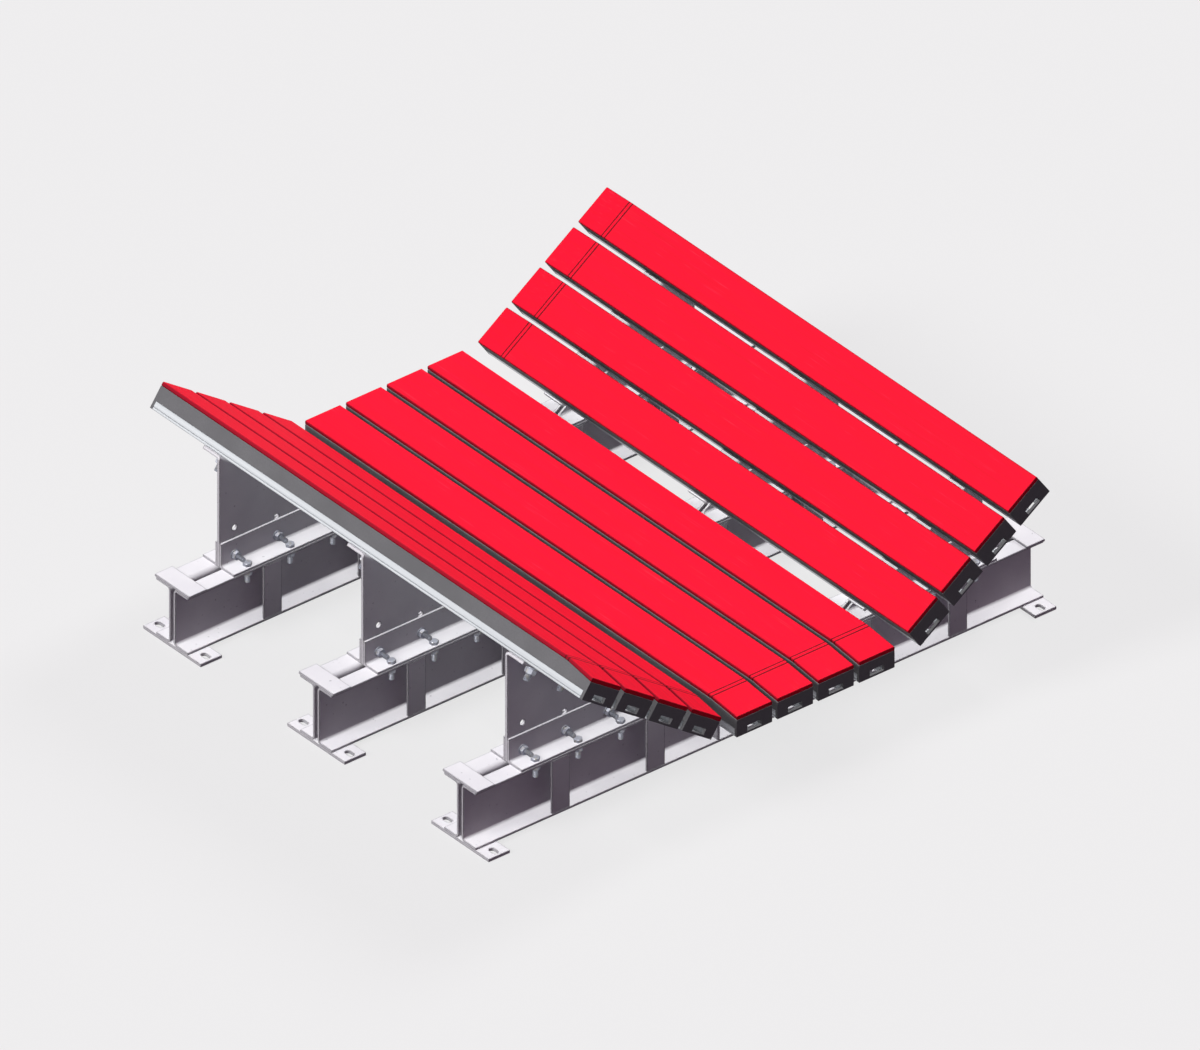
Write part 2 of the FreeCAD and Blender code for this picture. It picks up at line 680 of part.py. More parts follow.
def place_wings(doc):
    """Set the wing plates, and an angle on each side of every plate."""
    plate, angle = make_wing_plate(doc), make_angle(doc)
    plates = {-1: plate, 1: mirror_master(doc, plate)}
    angles = {1: angle, -1: mirror_master(doc, angle)}
    nodes = []
    for beam, flange in FLANGE_SIDE.items():
        place = beam_place(beam)
        brackets = []
        for side, turn in SIDE_TURN.items():
            master = plates[flange * SIDES[side]]
            nodes.append(add_copy(doc, master, f"{beam}_{side}_wing_plate", place, turn, WING))
            stand = shift(y=f"{TOE} - {ANGLE_INSET}", z=BEAM_TOP)
            for hand, bracket in angles.items():
                label = f"{beam}_{side}_angle_{'front' if hand * SIDES[side] > 0 else 'back'}"
                brackets.append(add_copy(doc, bracket, label, place, turn, stand))
        nodes.append(add_group(doc, f"{beam}_wing_angles", brackets))
    return nodes


def check(doc, nodes):
    """Stop if any object failed to build or any sub-part has no sound shape."""
    failed = [item.Label for item in doc.Objects if {"Invalid", "Error"} & set(item.State)]
    if failed:
        raise RuntimeError(f"objects that failed to build: {failed}")
    for node in nodes:
        shape = Part.getShape(node)
        if shape.isNull() or not shape.isValid() or not shape.Solids:
            raise RuntimeError(f"{node.Label} has no sound solid")


def main():
    """Build the bed and write one file for each sub-part."""
    doc = FreeCAD.newDocument("impact_bed")
    add_sheet(doc)
    makers = (place_bars, place_tbolts, place_beams, place_stiffeners, place_wings)
    nodes = [node for maker in makers for node in maker(doc)]
    doc.recompute()
    check(doc, nodes)
    os.makedirs("parts", exist_ok=True)
    for node in nodes:
        Part.getShape(node).exportStep(f"parts/{node.Label}.step")


main()
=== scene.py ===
"""Conveyor impact bed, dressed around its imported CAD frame.

Twelve impact bars lie in a trough on three cross beams. The CAD nodes keep their shapes and get
eased edges and their finishes here, and the bolts, nuts and washers are modelled as threaded
fasteners. Sizes are millimetres, and in the studio metres, in the CAD frame: X along the bars, Y
across the bed, Z up.
"""

import json
import logging
import math
from collections.abc import Iterable, Iterator, Sequence
from dataclasses import dataclass, field
from enum import Enum
from itertools import count, product
from typing import Any

import bmesh
import bpy
from mathutils import Matrix, Vector

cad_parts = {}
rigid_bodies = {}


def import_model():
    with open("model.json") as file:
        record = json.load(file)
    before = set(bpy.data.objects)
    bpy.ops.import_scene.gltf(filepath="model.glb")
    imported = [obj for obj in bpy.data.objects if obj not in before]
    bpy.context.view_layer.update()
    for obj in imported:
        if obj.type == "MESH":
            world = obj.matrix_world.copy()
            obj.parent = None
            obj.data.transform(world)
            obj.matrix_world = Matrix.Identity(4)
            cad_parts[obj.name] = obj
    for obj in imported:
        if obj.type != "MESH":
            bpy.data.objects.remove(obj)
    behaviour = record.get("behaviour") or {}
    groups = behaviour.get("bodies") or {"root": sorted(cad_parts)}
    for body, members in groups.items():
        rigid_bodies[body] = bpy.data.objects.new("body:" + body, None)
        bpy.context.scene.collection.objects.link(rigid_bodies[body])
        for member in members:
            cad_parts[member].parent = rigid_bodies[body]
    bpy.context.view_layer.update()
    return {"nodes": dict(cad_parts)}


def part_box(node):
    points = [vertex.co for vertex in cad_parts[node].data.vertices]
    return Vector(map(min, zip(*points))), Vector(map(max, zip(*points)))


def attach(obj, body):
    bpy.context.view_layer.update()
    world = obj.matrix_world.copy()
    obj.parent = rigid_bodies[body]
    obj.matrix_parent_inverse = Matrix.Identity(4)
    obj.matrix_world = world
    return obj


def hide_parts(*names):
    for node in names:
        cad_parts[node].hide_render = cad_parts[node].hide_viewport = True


log = logging.getLogger("impact_bed")
Span = tuple[float, float]
Direction = tuple[float, float, float]

MM = 0.001
FRAME_BODY = "support_frame"
BOLT_SLOT = "zinc_plated_steel"
BARS_PER_BANK = 4
SIDES = (-1, 1)
FACING_DOWN = Matrix.Rotation(math.pi, 4, "X")
FACING_UP = Matrix.Identity(4)
# Fasteners are tightened to no set angle, so each is turned on by this much from the last
NEXT_TURN = math.radians(137.5)
# A hexagon's corners are cut back by cones of this angle to a land of this share of its flats
CHAMFER_ANGLE = math.radians(30)
CHAMFER_LAND = 0.475
# The depth of a coarse thread as a share of its pitch
THREAD_DEPTH = 0.61
# Edges of fasteners that turn by more than this stay crisp
CRISP_ANGLE = math.radians(28)
# Points of a CAD node that are this near are made one, and so are faces that turn by this little
WELD_GAP = 0.002
FLAT_ANGLE = math.radians(0.5)
# Edges of CAD nodes that turn by more than this are eased
EASED_ANGLE = math.radians(40)


class Bank(Enum):
    """A bank of bars: its tilt about X in degrees, and the end on X where its strips bend down."""

    left = (-35.0, 1)
    centre = (0.0, 1)
    right = (35.0, -1)

    @property
    def tilt(self) -> Matrix:
        """The turn from a level bar to a bar of this bank."""
        return Matrix.Rotation(math.radians(self.value[0]), 4, "X")

    @property
    def lead_end(self) -> int:
        """The sign of X at the end where the wear strips bend down."""
        return self.value[1]

    def bars(self) -> list[str]:
        """The names of this bank's bars."""
        return [f"{self.name}_bar_{number}" for number in range(1, BARS_PER_BANK + 1)]


class Beam(Enum):
    """A cross beam: its middle along X, and the side on X to which its wing plates are folded."""

    rear = (-500.0, -1)
    middle = (0.0, -1)
    front = (500.0, 1)

    @property
    def x(self) -> float:
        """The middle of the beam along X."""
        return self.value[0]

    @property
    def fold(self) -> int:
        """The sign of X towards which the wing plates are folded."""
        return self.value[1]


def linear(colour: str) -> tuple[float, float, float, float]:
    """Turns an sRGB hex colour to linear light.

    Args:
        colour: The colour as "#RRGGBB".

    Returns:
        Linear red, green and blue, and an alpha of 1.
    """
    parts = (int(colour[i : i + 2], 16) / 255 for i in (1, 3, 5))
    red, green, blue = (
        part / 12.92 if part <= 0.04045 else ((part + 0.055) / 1.055) ** 2.4 for part in parts
    )
    return red, green, blue, 1.0


def per_mm(size: float) -> float:
    """The texture scale at which a pattern repeats about once in this many millimetres."""
    return 1 / (size * MM)


def span(side: str, ends: Span) -> dict[str, float]:
    """The inputs for the ends of one side, "From" or "To", of a range mapped to another."""
    return {f"{side} Min": ends[0], f"{side} Max": ends[1]}


def add_node(
    tree: bpy.types.NodeTree, kind: str, inputs: dict[str | int, Any] | None = None, **settings: Any
) -> bpy.types.Node:
    """Adds a node with its settings and links.

    Args:
        tree: The node tree that gets the node.
        kind: The node's type.
        inputs: For each input, by name or number, its value, the output that feeds it, or the node
            whose first output feeds it.
        settings: The node's own properties.

    Returns:
        The new node.
    """
    node = tree.nodes.new(kind)
    for name, value in settings.items():
        setattr(node, name, value)
    for key, value in (inputs or {}).items():
        named = [socket for socket in node.inputs if socket.enabled and socket.name == key]
        socket = named[0] if named else node.inputs[key]
        if isinstance(value, bpy.types.Node):
            value = next(output for output in value.outputs if output.enabled)
        if isinstance(value, bpy.types.NodeSocket):
            tree.links.new(value, socket)
        else:
            socket.default_value = value
    return node


def is_seen(tree: bpy.types.NodeTree) -> bpy.types.Node:
    """Tells rays that see the studio, in the picture or in metal, from rays that gather its light.

    Args:
        tree: The node tree of the floor or the surroundings.

    Returns:
        The node that gives 1 for rays that see and 0 for the others.
    """
    path = add_node(tree, "ShaderNodeLightPath")
    mirrored = add_node(
        tree,
        "ShaderNodeMath",
        {0: path.outputs["Is Glossy Ray"], 1: path.outputs["Is Transmission Ray"]},
        operation="MAXIMUM",
    )
    return add_node(
        tree, "ShaderNodeMath", {0: path.outputs["Is Camera Ray"], 1: mirrored}, operation="MAXIMUM"
    )


@dataclass(frozen=True)
class EdgeBand:
    """A band along a piece's edges.

    The width is the radius of the rounding that finds the edges, the onset holds the cosines of its
    turn at which the band begins and is full, and the share is how much of it there is at most.
    """

    width: float
    onset: Span
    share: float


@dataclass(frozen=True)
class Finish:
    """A material that is laid on pieces by name.

    In the finishes, a size is that of a pattern, and a pair of sizes is along X and across it. An
    onset is the pair of levels of a pattern between which a tone sets in, and a share is how much
    of the tone there is at most. A height is that of a relief, and the relief is its strength.
    """

    name: str

    def start(self) -> tuple[bpy.types.Material, bpy.types.NodeTree, bpy.types.NodeSocket]:
        """Starts the material.

        Returns:
            The material, its empty node tree, and the place on the piece in metres.
        """
        material = bpy.data.materials.new(self.name)
        material.use_nodes = True
        tree = material.node_tree
        tree.nodes.clear()
        return material, tree, add_node(tree, "ShaderNodeTexCoord").outputs["Object"]

    @staticmethod
    def near_edges(tree: bpy.types.NodeTree, band: EdgeBand) -> bpy.types.Node:
        """Finds where the surface is near an edge.

        Args:
            tree: The material's node tree.
            band: The band that counts as near.

        Returns:
            The node that gives the band's share, which is 0 away from the edges.
        """
        flat = add_node(tree, "ShaderNodeNewGeometry").outputs["Normal"]
        rim = add_node(tree, "ShaderNodeBevel", {"Radius": band.width * MM}, samples=4)
        turned = add_node(tree, "ShaderNodeVectorMath", {0: rim, 1: flat}, operation="DOT_PRODUCT")
        return add_node(
            tree,
            "ShaderNodeMapRange",
            {"Value": turned.outputs["Value"], **span("From", band.onset), "To Max": band.share},
        )

    @staticmethod
    def lengthwise(
        tree: bpy.types.NodeTree, place: bpy.types.NodeSocket, size: Span
    ) -> bpy.types.Node:
        """Draws an irregular pattern that is drawn out along X.

        Args:
            tree: The material's node tree.
            place: The place on the piece.
            size: The pattern's size along X and across it.

        Returns:
            The node that gives the pattern.
        """
        along, across = (per_mm(each) for each in size)
        laid = add_node(
            tree, "ShaderNodeMapping", {"Vector": place, "Scale": (along, across, across)}
        )
        return add_node(tree, "ShaderNodeTexNoise", {"Vector": laid, "Scale": 1.0, "Detail": 3.0})


@dataclass(frozen=True)
class SkivedPolyethylene(Finish):
    """Red high-molecular polyethylene, skived from a pressed block.

    The knife leaves fine streaks along the strip, the colour is deep and even under a waxy
    half-matt sheen, the belt leaves pale scuffs lengthwise, the long sides are painted darker as
    painted shade, grime stays along the cut edges, and the hot bend at the lead-in leaves two dark
    marks.
    """

    bank: Bank = Bank.centre
    colour: str = "#FC0B31"
    streak_colour: str = "#F00A2D"
    scuff_colour: str = "#FF3850"
    # Painted shade: a darker red laid on the long sides, for the shade on faces turned sideways
    side_shade_colour: str = "#A80F28"
    mark_colour: str = "#3A060D"
    roughness: Span = (0.62, 0.76)
    ior: float = 1.53
    specular: float = 0.12
    streak_size: Span = (420.0, 7.0)
    streak_onset: Span = (0.35, 0.6)
    streak_height: float = 0.1
    streak_relief: float = 0.6
    scuff_size: Span = (170.0, 3.2)
    scuff_onset: Span = (0.6, 0.7)
    patch_size: float = 80.0
    patch_onset: Span = (0.48, 0.66)
    patch_share: float = 0.5
    # How squarely a face must turn sideways before the painted shade sets in
    side_shade_onset: Span = (0.55, 0.8)
    bend_middle: float = 657.5
    bend_half: float = 5.5
    mark_half: float = 2.1
    mark_share: float = 0.95
    grime: EdgeBand = EdgeBand(4.0, (0.99, 0.9), 0.85)

    def scuffs(self, tree: bpy.types.NodeTree, place: bpy.types.NodeSocket) -> bpy.types.Node:
        """Draws the belt's scuffs as fine scratches in patches.

        Args:
            tree: The material's node tree.
            place: The place on the strip.

        Returns:
            The node that gives their share.
        """
        scratches = self.lengthwise(tree, place, self.scuff_size)
        mottle = add_node(
            tree,
            "ShaderNodeTexNoise",
            {"Vector": place, "Scale": per_mm(self.patch_size), "Detail": 2.0},
        )
        lines = add_node(
            tree, "ShaderNodeMapRange", {"Value": scratches, **span("From", self.scuff_onset)}
        )
        patches = add_node(
            tree,
            "ShaderNodeMapRange",
            {"Value": mottle, **span("From", self.patch_onset), "To Max": self.patch_share},
        )
        return add_node(tree, "ShaderNodeMath", {0: lines, 1: patches}, operation="MULTIPLY")

    def painted_side_shade(self, tree: bpy.types.NodeTree) -> bpy.types.Node:
        """Finds the strip's two long sides by the way they face, where painted shade darkens the
        red.

        Args:
            tree: The material's node tree.

        Returns:
            The node that gives 1 on the sides and 0 elsewhere.
        """
        flat = add_node(tree, "ShaderNodeNewGeometry").outputs["Normal"]
        across = add_node(
            tree,
            "ShaderNodeVectorMath",
            {0: flat, 1: self.bank.tilt @ Vector((0.0, 1.0, 0.0))},
            operation="DOT_PRODUCT",
        )
        sideways = add_node(
            tree, "ShaderNodeMath", {0: across.outputs["Value"]}, operation="ABSOLUTE"
        )
        return add_node(
            tree, "ShaderNodeMapRange", {"Value": sideways, **span("From", self.side_shade_onset)}
        )

    def bend_marks(self, tree: bpy.types.NodeTree, place: bpy.types.NodeSocket) -> bpy.types.Node:
        """Draws two marks across the strip, one at each side of the bend.

        Args:
            tree: The material's node tree.
            place: The place on the strip.

        Returns:
            The node that gives their share.
        """
        # From the place along X to the distance from the nearer mark
        away = add_node(tree, "ShaderNodeSeparateXYZ", {0: place})
        for operation, amount in (
            ("MULTIPLY", self.bank.lead_end),
            ("SUBTRACT", self.bend_middle * MM),
            ("ABSOLUTE", 0.0),
            ("SUBTRACT", self.bend_half * MM),
            ("ABSOLUTE", 0.0),
        ):
            away = add_node(tree, "ShaderNodeMath", {0: away, 1: amount}, operation=operation)
        half = self.mark_half * MM
        return add_node(
            tree,
            "ShaderNodeMapRange",
            {"Value": away, **span("From", (half, half / 2)), "To Max": self.mark_share},
        )

    def make(self) -> bpy.types.Material:
        """Builds the material.

        Returns:
            The material.
        """
        material, tree, place = self.start()
        streaks = self.lengthwise(tree, place, self.streak_size)
        plain = add_node(
            tree, "ShaderNodeMapRange", {"Value": streaks, **span("From", self.streak_onset)}
        )
        dirty = add_node(
            tree,
            "ShaderNodeMath",
            {0: self.near_edges(tree, self.grime), 1: self.bend_marks(tree, place)},
            operation="MAXIMUM",
        )
        colour: Any = linear(self.streak_colour)
        for share, above in (
            (plain, self.colour),
            (self.scuffs(tree, place), self.scuff_colour),
            # Painted shade on the long sides, picked out by the way they face
            (self.painted_side_shade(tree), self.side_shade_colour),
            (dirty, self.mark_colour),
        ):
            colour = add_node(
                tree,
                "ShaderNodeMix",
                {"Factor": share, "A": colour, "B": linear(above)},
                data_type="RGBA",
            )
        sheen = add_node(
            tree, "ShaderNodeMapRange", {"Value": streaks, **span("To", self.roughness)}
        )
        relief = add_node(
            tree,
            "ShaderNodeBump",
            {
                "Height": streaks,
                "Strength": self.streak_relief,
                "Distance": self.streak_height * MM,
            },
        )
        shader = add_node(
            tree,
            "ShaderNodeBsdfPrincipled",
            {
                "Base Color": colour,
                "Roughness": sheen,
                "Normal": relief,
                "IOR": self.ior,
                "Specular IOR Level": self.specular,
            },
        )
        add_node(tree, "ShaderNodeOutputMaterial", {"Surface": shader})
        return material


@dataclass(frozen=True)
class MouldedRubber(Finish):
    """Black natural rubber, moulded under heat in a blasted steel mould.

    It is a soft charcoal with a fine even grain, and a grey bloom comes out of it in dull clouds.
    """

    colour: str = "#6C6C6E"
    bloom_colour: str = "#828284"
    roughness: Span = (0.6, 0.78)
    ior: float = 1.52
    specular: float = 0.25
    bloom_size: float = 110.0
    bloom_onset: Span = (0.35, 0.7)
    # Half a millimetre in truth, drawn coarser so that it shows in a picture of the whole bed
    grain_size: float = 3.5
    grain_height: float = 0.12
    grain_relief: float = 0.5

    def make(self) -> bpy.types.Material:
        """Builds the material.

        Returns:
            The material.
        """
        material, tree, place = self.start()
        clouds, grain = (
            add_node(
                tree,
                "ShaderNodeTexNoise",
                {"Vector": place, "Scale": per_mm(size), "Detail": detail},
            )
            for size, detail in ((self.bloom_size, 5.0), (self.grain_size, 2.0))
        )
        bloom = add_node(
            tree, "ShaderNodeMapRange", {"Value": clouds, **span("From", self.bloom_onset)}
        )
        speckled = add_node(tree, "ShaderNodeMath", {0: bloom, 1: grain}, operation="MULTIPLY")
        colour = add_node(
            tree,
            "ShaderNodeMix",
            {"Factor": speckled, "A": linear(self.colour), "B": linear(self.bloom_colour)},
            data_type="RGBA",
        )
        sheen = add_node(
            tree, "ShaderNodeMapRange", {"Value": clouds, **span("To", self.roughness)}
        )
        relief = add_node(
            tree,
            "ShaderNodeBump",
            {"Height": grain, "Strength": self.grain_relief, "Distance": self.grain_height * MM},
        )
        shader = add_node(
            tree,
            "ShaderNodeBsdfPrincipled",
            {
                "Base Color": colour,
                "Roughness": sheen,
                "Normal": relief,
                "IOR": self.ior,
                "Specular IOR Level": self.specular,
            },
        )
        add_node(tree, "ShaderNodeOutputMaterial", {"Surface": shader})
        return material


@dataclass(frozen=True)
class ExtrudedAluminium(Finish):
    """Mill-finish aluminium, pressed hot through a die.

    It is a bright silvery white with straight die lines along the whole length, and the rubber
    leaves a dark smear along its edges.
    """

    colour: str = "#E4E6E9"
    line_colour: str = "#C4C7CD"
    smear_colour: str = "#3C3C42"
    roughness: Span = (0.3, 0.46)
    line_size: Span = (1500.0, 2.4)
    line_height: float = 0.05
    line_relief: float = 0.5
    smear: EdgeBand = EdgeBand(2.6, (0.99, 0.85), 0.8)

    def make(self) -> bpy.types.Material:
        """Builds the material.

        Returns:
            The material.
        """
        material, tree, place = self.start()
        lines = self.lengthwise(tree, place, self.line_size)
        colour: Any = linear(self.line_colour)
        for share, above in (
            (lines, self.colour),
            (self.near_edges(tree, self.smear), self.smear_colour),
        ):
            colour = add_node(
                tree,
                "ShaderNodeMix",
                {"Factor": share, "A": colour, "B": linear(above)},
                data_type="RGBA",
            )
        sheen = add_node(tree, "ShaderNodeMapRange", {"Value": lines, **span("To", self.roughness)})
        relief = add_node(
            tree,
            "ShaderNodeBump",
            {"Height": lines, "Strength": self.line_relief, "Distance": self.line_height * MM},
        )
        shader = add_node(
            tree,
            "ShaderNodeBsdfPrincipled",
            {"Base Color": colour, "Metallic": 1.0, "Roughness": sheen, "Normal": relief},
        )
        add_node(tree, "ShaderNodeOutputMaterial", {"Surface": shader})
        return material


@dataclass(frozen=True)
class SprayedSteelPaint(Finish):
    """Pale grey enamel, sprayed on rolled steel.

    The coat has a satin gloss and the fine dimples of sprayed paint, drifts a little in tone over a
    plate, draws back thin and darker from the edges, and picks up a few specks of dirt.
    """

    colour: str = "#F5F4F7"
    thin_colour: str = "#ECEBEF"
    worn_colour: str = "#47434D"
    roughness: Span = (0.4, 0.56)
    ior: float = 1.5
    specular: float = 0.35
    drift_size: float = 140.0
    drift_onset: Span = (0.38, 0.6)
    speck_size: float = 9.0
    speck_onset: Span = (0.74, 0.79)
    speck_share: float = 0.35
    # A millimetre or two in truth, drawn coarser so that it shows in a picture of the whole bed
    dimple_size: float = 4.0
    dimple_height: float = 0.08
    dimple_relief: float = 0.4
    bare_edges: EdgeBand = EdgeBand(4.5, (0.99, 0.88), 0.9)

    def make(self) -> bpy.types.Material:
        """Builds the material.

        Returns:
            The material.
        """
        material, tree, place = self.start()
        drift, specks, dimples = (
            add_node(
                tree,
                "ShaderNodeTexNoise",
                {"Vector": place, "Scale": per_mm(size), "Detail": detail},
            )
            for size, detail in (
                (self.drift_size, 4.0),
                (self.speck_size, 1.0),
                (self.dimple_size, 1.0),
            )
        )
        full = add_node(
            tree, "ShaderNodeMapRange", {"Value": drift, **span("From", self.drift_onset)}
        )
        dirt = add_node(
            tree,
            "ShaderNodeMapRange",
            {"Value": specks, **span("From", self.speck_onset), "To Max": self.speck_share},
        )
        worn = add_node(
            tree,
            "ShaderNodeMath",
            {0: self.near_edges(tree, self.bare_edges), 1: dirt},
            operation="MAXIMUM",
        )
        colour: Any = linear(self.thin_colour)
        for share, above in ((full, self.colour), (worn, self.worn_colour)):
            colour = add_node(
                tree,
                "ShaderNodeMix",
                {"Factor": share, "A": colour, "B": linear(above)},
                data_type="RGBA",
            )
        sheen = add_node(tree, "ShaderNodeMapRange", {"Value": drift, **span("To", self.roughness)})
        relief = add_node(
            tree,
            "ShaderNodeBump",
            {
                "Height": dimples,
                "Strength": self.dimple_relief,
                "Distance": self.dimple_height * MM,
            },
        )
        shader = add_node(
            tree,
            "ShaderNodeBsdfPrincipled",
            {
                "Base Color": colour,
                "Roughness": sheen,
                "Normal": relief,
                "IOR": self.ior,
                "Specular IOR Level": self.specular,
            },
        )
        add_node(tree, "ShaderNodeOutputMaterial", {"Surface": shader})
        return material


@dataclass(frozen=True)
class ZincPlate(Finish):
    """Zinc plate on steel bolts, gone dull in the open.

    A chalky bloom of zinc oxide lies on a cool silver that drifts to straw. The bloom is thick in
    some spots and rubbed off in others, where the metal still shines, and oily dirt sits in the
    thread and along the edges.
    """

    colour: str = "#CDD1DC"
    straw_colour: str = "#C9C5BA"
    dirt_colour: str = "#2C2D36"
    roughness: Span = (0.34, 0.56)
    drift_size: float = 9.0
    drift_onset: Span = (0.5, 0.75)
    bloom_size: float = 4.0
    bloom_onset: Span = (0.35, 0.65)
    # How much of the metal shows where the bloom is thin, and where it is thick
    bare_metal: Span = (0.6, 0.25)
    dirt: EdgeBand = EdgeBand(1.7, (0.98, 0.84), 0.75)

    def make(self) -> bpy.types.Material:
        """Builds the material.

        Returns:
            The material.
        """
        material, tree, place = self.start()
        drift, bloom = (
            add_node(
                tree, "ShaderNodeTexNoise", {"Vector": place, "Scale": per_mm(size), "Detail": 2.0}
            )
            for size in (self.drift_size, self.bloom_size)
        )
        straw = add_node(
            tree, "ShaderNodeMapRange", {"Value": drift, **span("From", self.drift_onset)}
        )
        colour: Any = linear(self.colour)
        for share, above in (
            (straw, self.straw_colour),
            (self.near_edges(tree, self.dirt), self.dirt_colour),
        ):
            colour = add_node(
                tree,
                "ShaderNodeMix",
                {"Factor": share, "A": colour, "B": linear(above)},
                data_type="RGBA",
            )
        bare = add_node(
            tree,
            "ShaderNodeMapRange",
            {"Value": bloom, **span("From", self.bloom_onset), **span("To", self.bare_metal)},
        )
        sheen = add_node(tree, "ShaderNodeMapRange", {"Value": bloom, **span("To", self.roughness)})
        shader = add_node(
            tree,
            "ShaderNodeBsdfPrincipled",
            {"Base Color": colour, "Metallic": bare, "Roughness": sheen},
        )
        add_node(tree, "ShaderNodeOutputMaterial", {"Surface": shader})
        return material


@dataclass(frozen=True)
class StudioFloor(Finish):
    """Pale matt floor of the studio, which keeps the bed's shadow.

    The picture and the metals see it as pale as the backdrop. For scattered light it is darker, so
    that little of it comes back up under the bed.
    """

    colour: str = "#EEEEEE"
    scatter_colour: str = "#4C4254"
    shadow_share: float = 0.32
    glow_level: float = 0.925

    def make(self) -> bpy.types.Material:
        """Builds the material.

        Returns:
            The material.
        """
        material, tree, _ = self.start()
        colour = linear(self.colour)
        lit = add_node(tree, "ShaderNodeBsdfDiffuse", {"Color": colour})
        glow = add_node(tree, "ShaderNodeEmission", {"Color": colour, "Strength": self.glow_level})
        pale = add_node(tree, "ShaderNodeMixShader", {"Fac": self.shadow_share, 1: glow, 2: lit})
        dull = add_node(tree, "ShaderNodeBsdfDiffuse", {"Color": linear(self.scatter_colour)})
        shown = add_node(tree, "ShaderNodeMixShader", {"Fac": is_seen(tree), 1: dull, 2: pale})
        add_node(tree, "ShaderNodeOutputMaterial", {"Surface": shown})
        return material


def on_circle(radius: float, share: float, z: float) -> Vector:
    """The point at a share of a full turn on a level circle about Z."""
    return Vector((radius * math.cos(math.tau * share), radius * math.sin(math.tau * share), z))


@dataclass
class Shape:
    """Points in millimetres and the faces between them."""

    points: list[Vector] = field(default_factory=list)
    faces: list[tuple[int, ...]] = field(default_factory=list)

    @classmethod
    def skin(cls, rings: Sequence[Sequence[Vector]]) -> "Shape":
        """Skins closed rings one after the other and closes both ends.

        Args:
            rings: Rings of equally many points, in order.

        Returns:
            The closed shape.
        """
        around, last = len(rings[0]), len(rings) - 1
        faces = [
            (k * around + j, k * around + n, (k + 1) * around + n, (k + 1) * around + j)
            for k in range(last)
            for j in range(around)
            for n in [(j + 1) % around]
        ]
        faces.append(tuple(reversed(range(around))))
        faces.append(tuple(range(last * around, (last + 1) * around)))
        return cls([point for ring in rings for point in ring], faces)

    @classmethod
    def turned(cls, outline: Iterable[Span], sides: int) -> "Shape":
        """Turns an outline of radius and height about Z."""
        return cls.skin(
            [[on_circle(radius, j / sides, z) for j in range(sides)] for radius, z in outline]
        )

    @classmethod
    def hexagon(cls, flats: float, height: float, nut: bool) -> "Shape":
        """Makes a hexagon from Z 0 up, its corners cut back by cones.

        Args:
            flats: The width across flats.
            height: The height.
            nut: Whether the corners are cut at the lower end too, as on a nut.

        Returns:
            The hexagon.
        """
        sides, land = 24, CHAMFER_LAND * flats
        turns = [math.radians(j * 360 / sides % 60 - 30) for j in range(sides)]
        reach = [flats / 2 / math.cos(turn) for turn in turns]
        drop = [(radius - land) * math.tan(CHAMFER_ANGLE) for radius in reach]
        rings = [
            [on_circle(reach[j], j / sides, drop[j] if nut else 0.0) for j in range(sides)],
            [on_circle(reach[j], j / sides, height - drop[j]) for j in range(sides)],
            [on_circle(land, j / sides, height) for j in range(sides)],
        ]
        if nut:
            rings.insert(0, [on_circle(land, j / sides, 0.0) for j in range(sides)])
        return cls.skin(rings)

    @classmethod
    def threaded(cls, diameter: float, pitch: float, length: float) -> "Shape":
        """Makes a rod from Z 0 up, with its thread as a helix and a chamfered tip.

        Args:
            diameter: The thread's outside diameter.
            pitch: The thread's pitch.
            length: The rod's length.

        Returns:
            The rod.
        """
        sides, lead_in, root = 16, 2, diameter / 2 - THREAD_DEPTH * pitch
        rows = 2 * (math.ceil(length / pitch) + 2 * lead_in)
        points = []
        for row, j in product(range(rows), range(sides)):
            z = pitch * (row / 2 + j / sides - lead_in)
            crest = root if row % 2 or z <= 0 else diameter / 2
            radius = min(crest, root + max(length - z, 0.0))
            points.append(on_circle(radius, j / sides, min(max(z, 0.0), length)))
        faces = []
        for row, j in product(range(rows - 3), range(sides)):
            a = row * sides + j
            b = a + 1 if j + 1 < sides else (row + 2) * sides
            faces.append((a, b, b + sides, a + sides))
        faces.append(tuple(reversed(range(sides))))
        faces.append(tuple(range((rows - 1) * sides, rows * sides)))
        return cls(points, faces).welded()

    @classmethod
    def split_ring(cls, inner: float, outer: float, height: float) -> "Shape":
        """Makes a spring washer from Z 0 up, its ends a little apart and sprung.

        Args:
            inner: The inside diameter.
            outer: The outside diameter.
            height: The height of the washer.

        Returns:
            The washer.
        """
        steps, gap, rise = 28, 0.03, 0.18 * height
        rings = []
        for step in range(steps + 1):
            share = gap + (1 - 2 * gap) * step / steps
            low = rise * step / steps
            high = low + height - rise
            corners = ((inner, low), (inner, high), (outer, high), (outer, low))
            rings.append([on_circle(width / 2, share, z) for width, z in corners])
        return cls.skin(rings)

    @classmethod
    def bar(cls, width: float, depth: float, low: float, high: float, ease: float) -> "Shape":
        """Makes an upright bar of rectangular section with its corners and its upper edges eased.

        Args:
            width: The size along X.
            depth: The size along Y.
            low: The lower end on Z.
            high: The upper end on Z.
            ease: How far the edges are cut back.

        Returns:
            The bar.
        """
        rings = []
        for inset, z in ((0.0, low), (0.0, high - ease), (ease, high)):
            x, y = width / 2 - inset, depth / 2 - inset
            ring = []
            for sx, sy in ((1, 1), (-1, 1), (-1, -1), (1, -1)):
                near = Vector((sx * x, sy * (y - ease), z))
                far = Vector((sx * (x - ease), sy * y, z))
                ring.extend((near, far) if sx == sy else (far, near))
            rings.append(ring)
        return cls.skin(rings)

    def add(self, other: "Shape", place: Matrix) -> "Shape":
        """Adds a copy of another shape.

        Args:
            other: The shape to copy.
            place: Where the copy goes.

        Returns:
            This shape.
        """
        start = len(self.points)
        self.points.extend(place @ point for point in other.points)
        self.faces.extend(tuple(start + index for index in face) for face in other.faces)
        return self

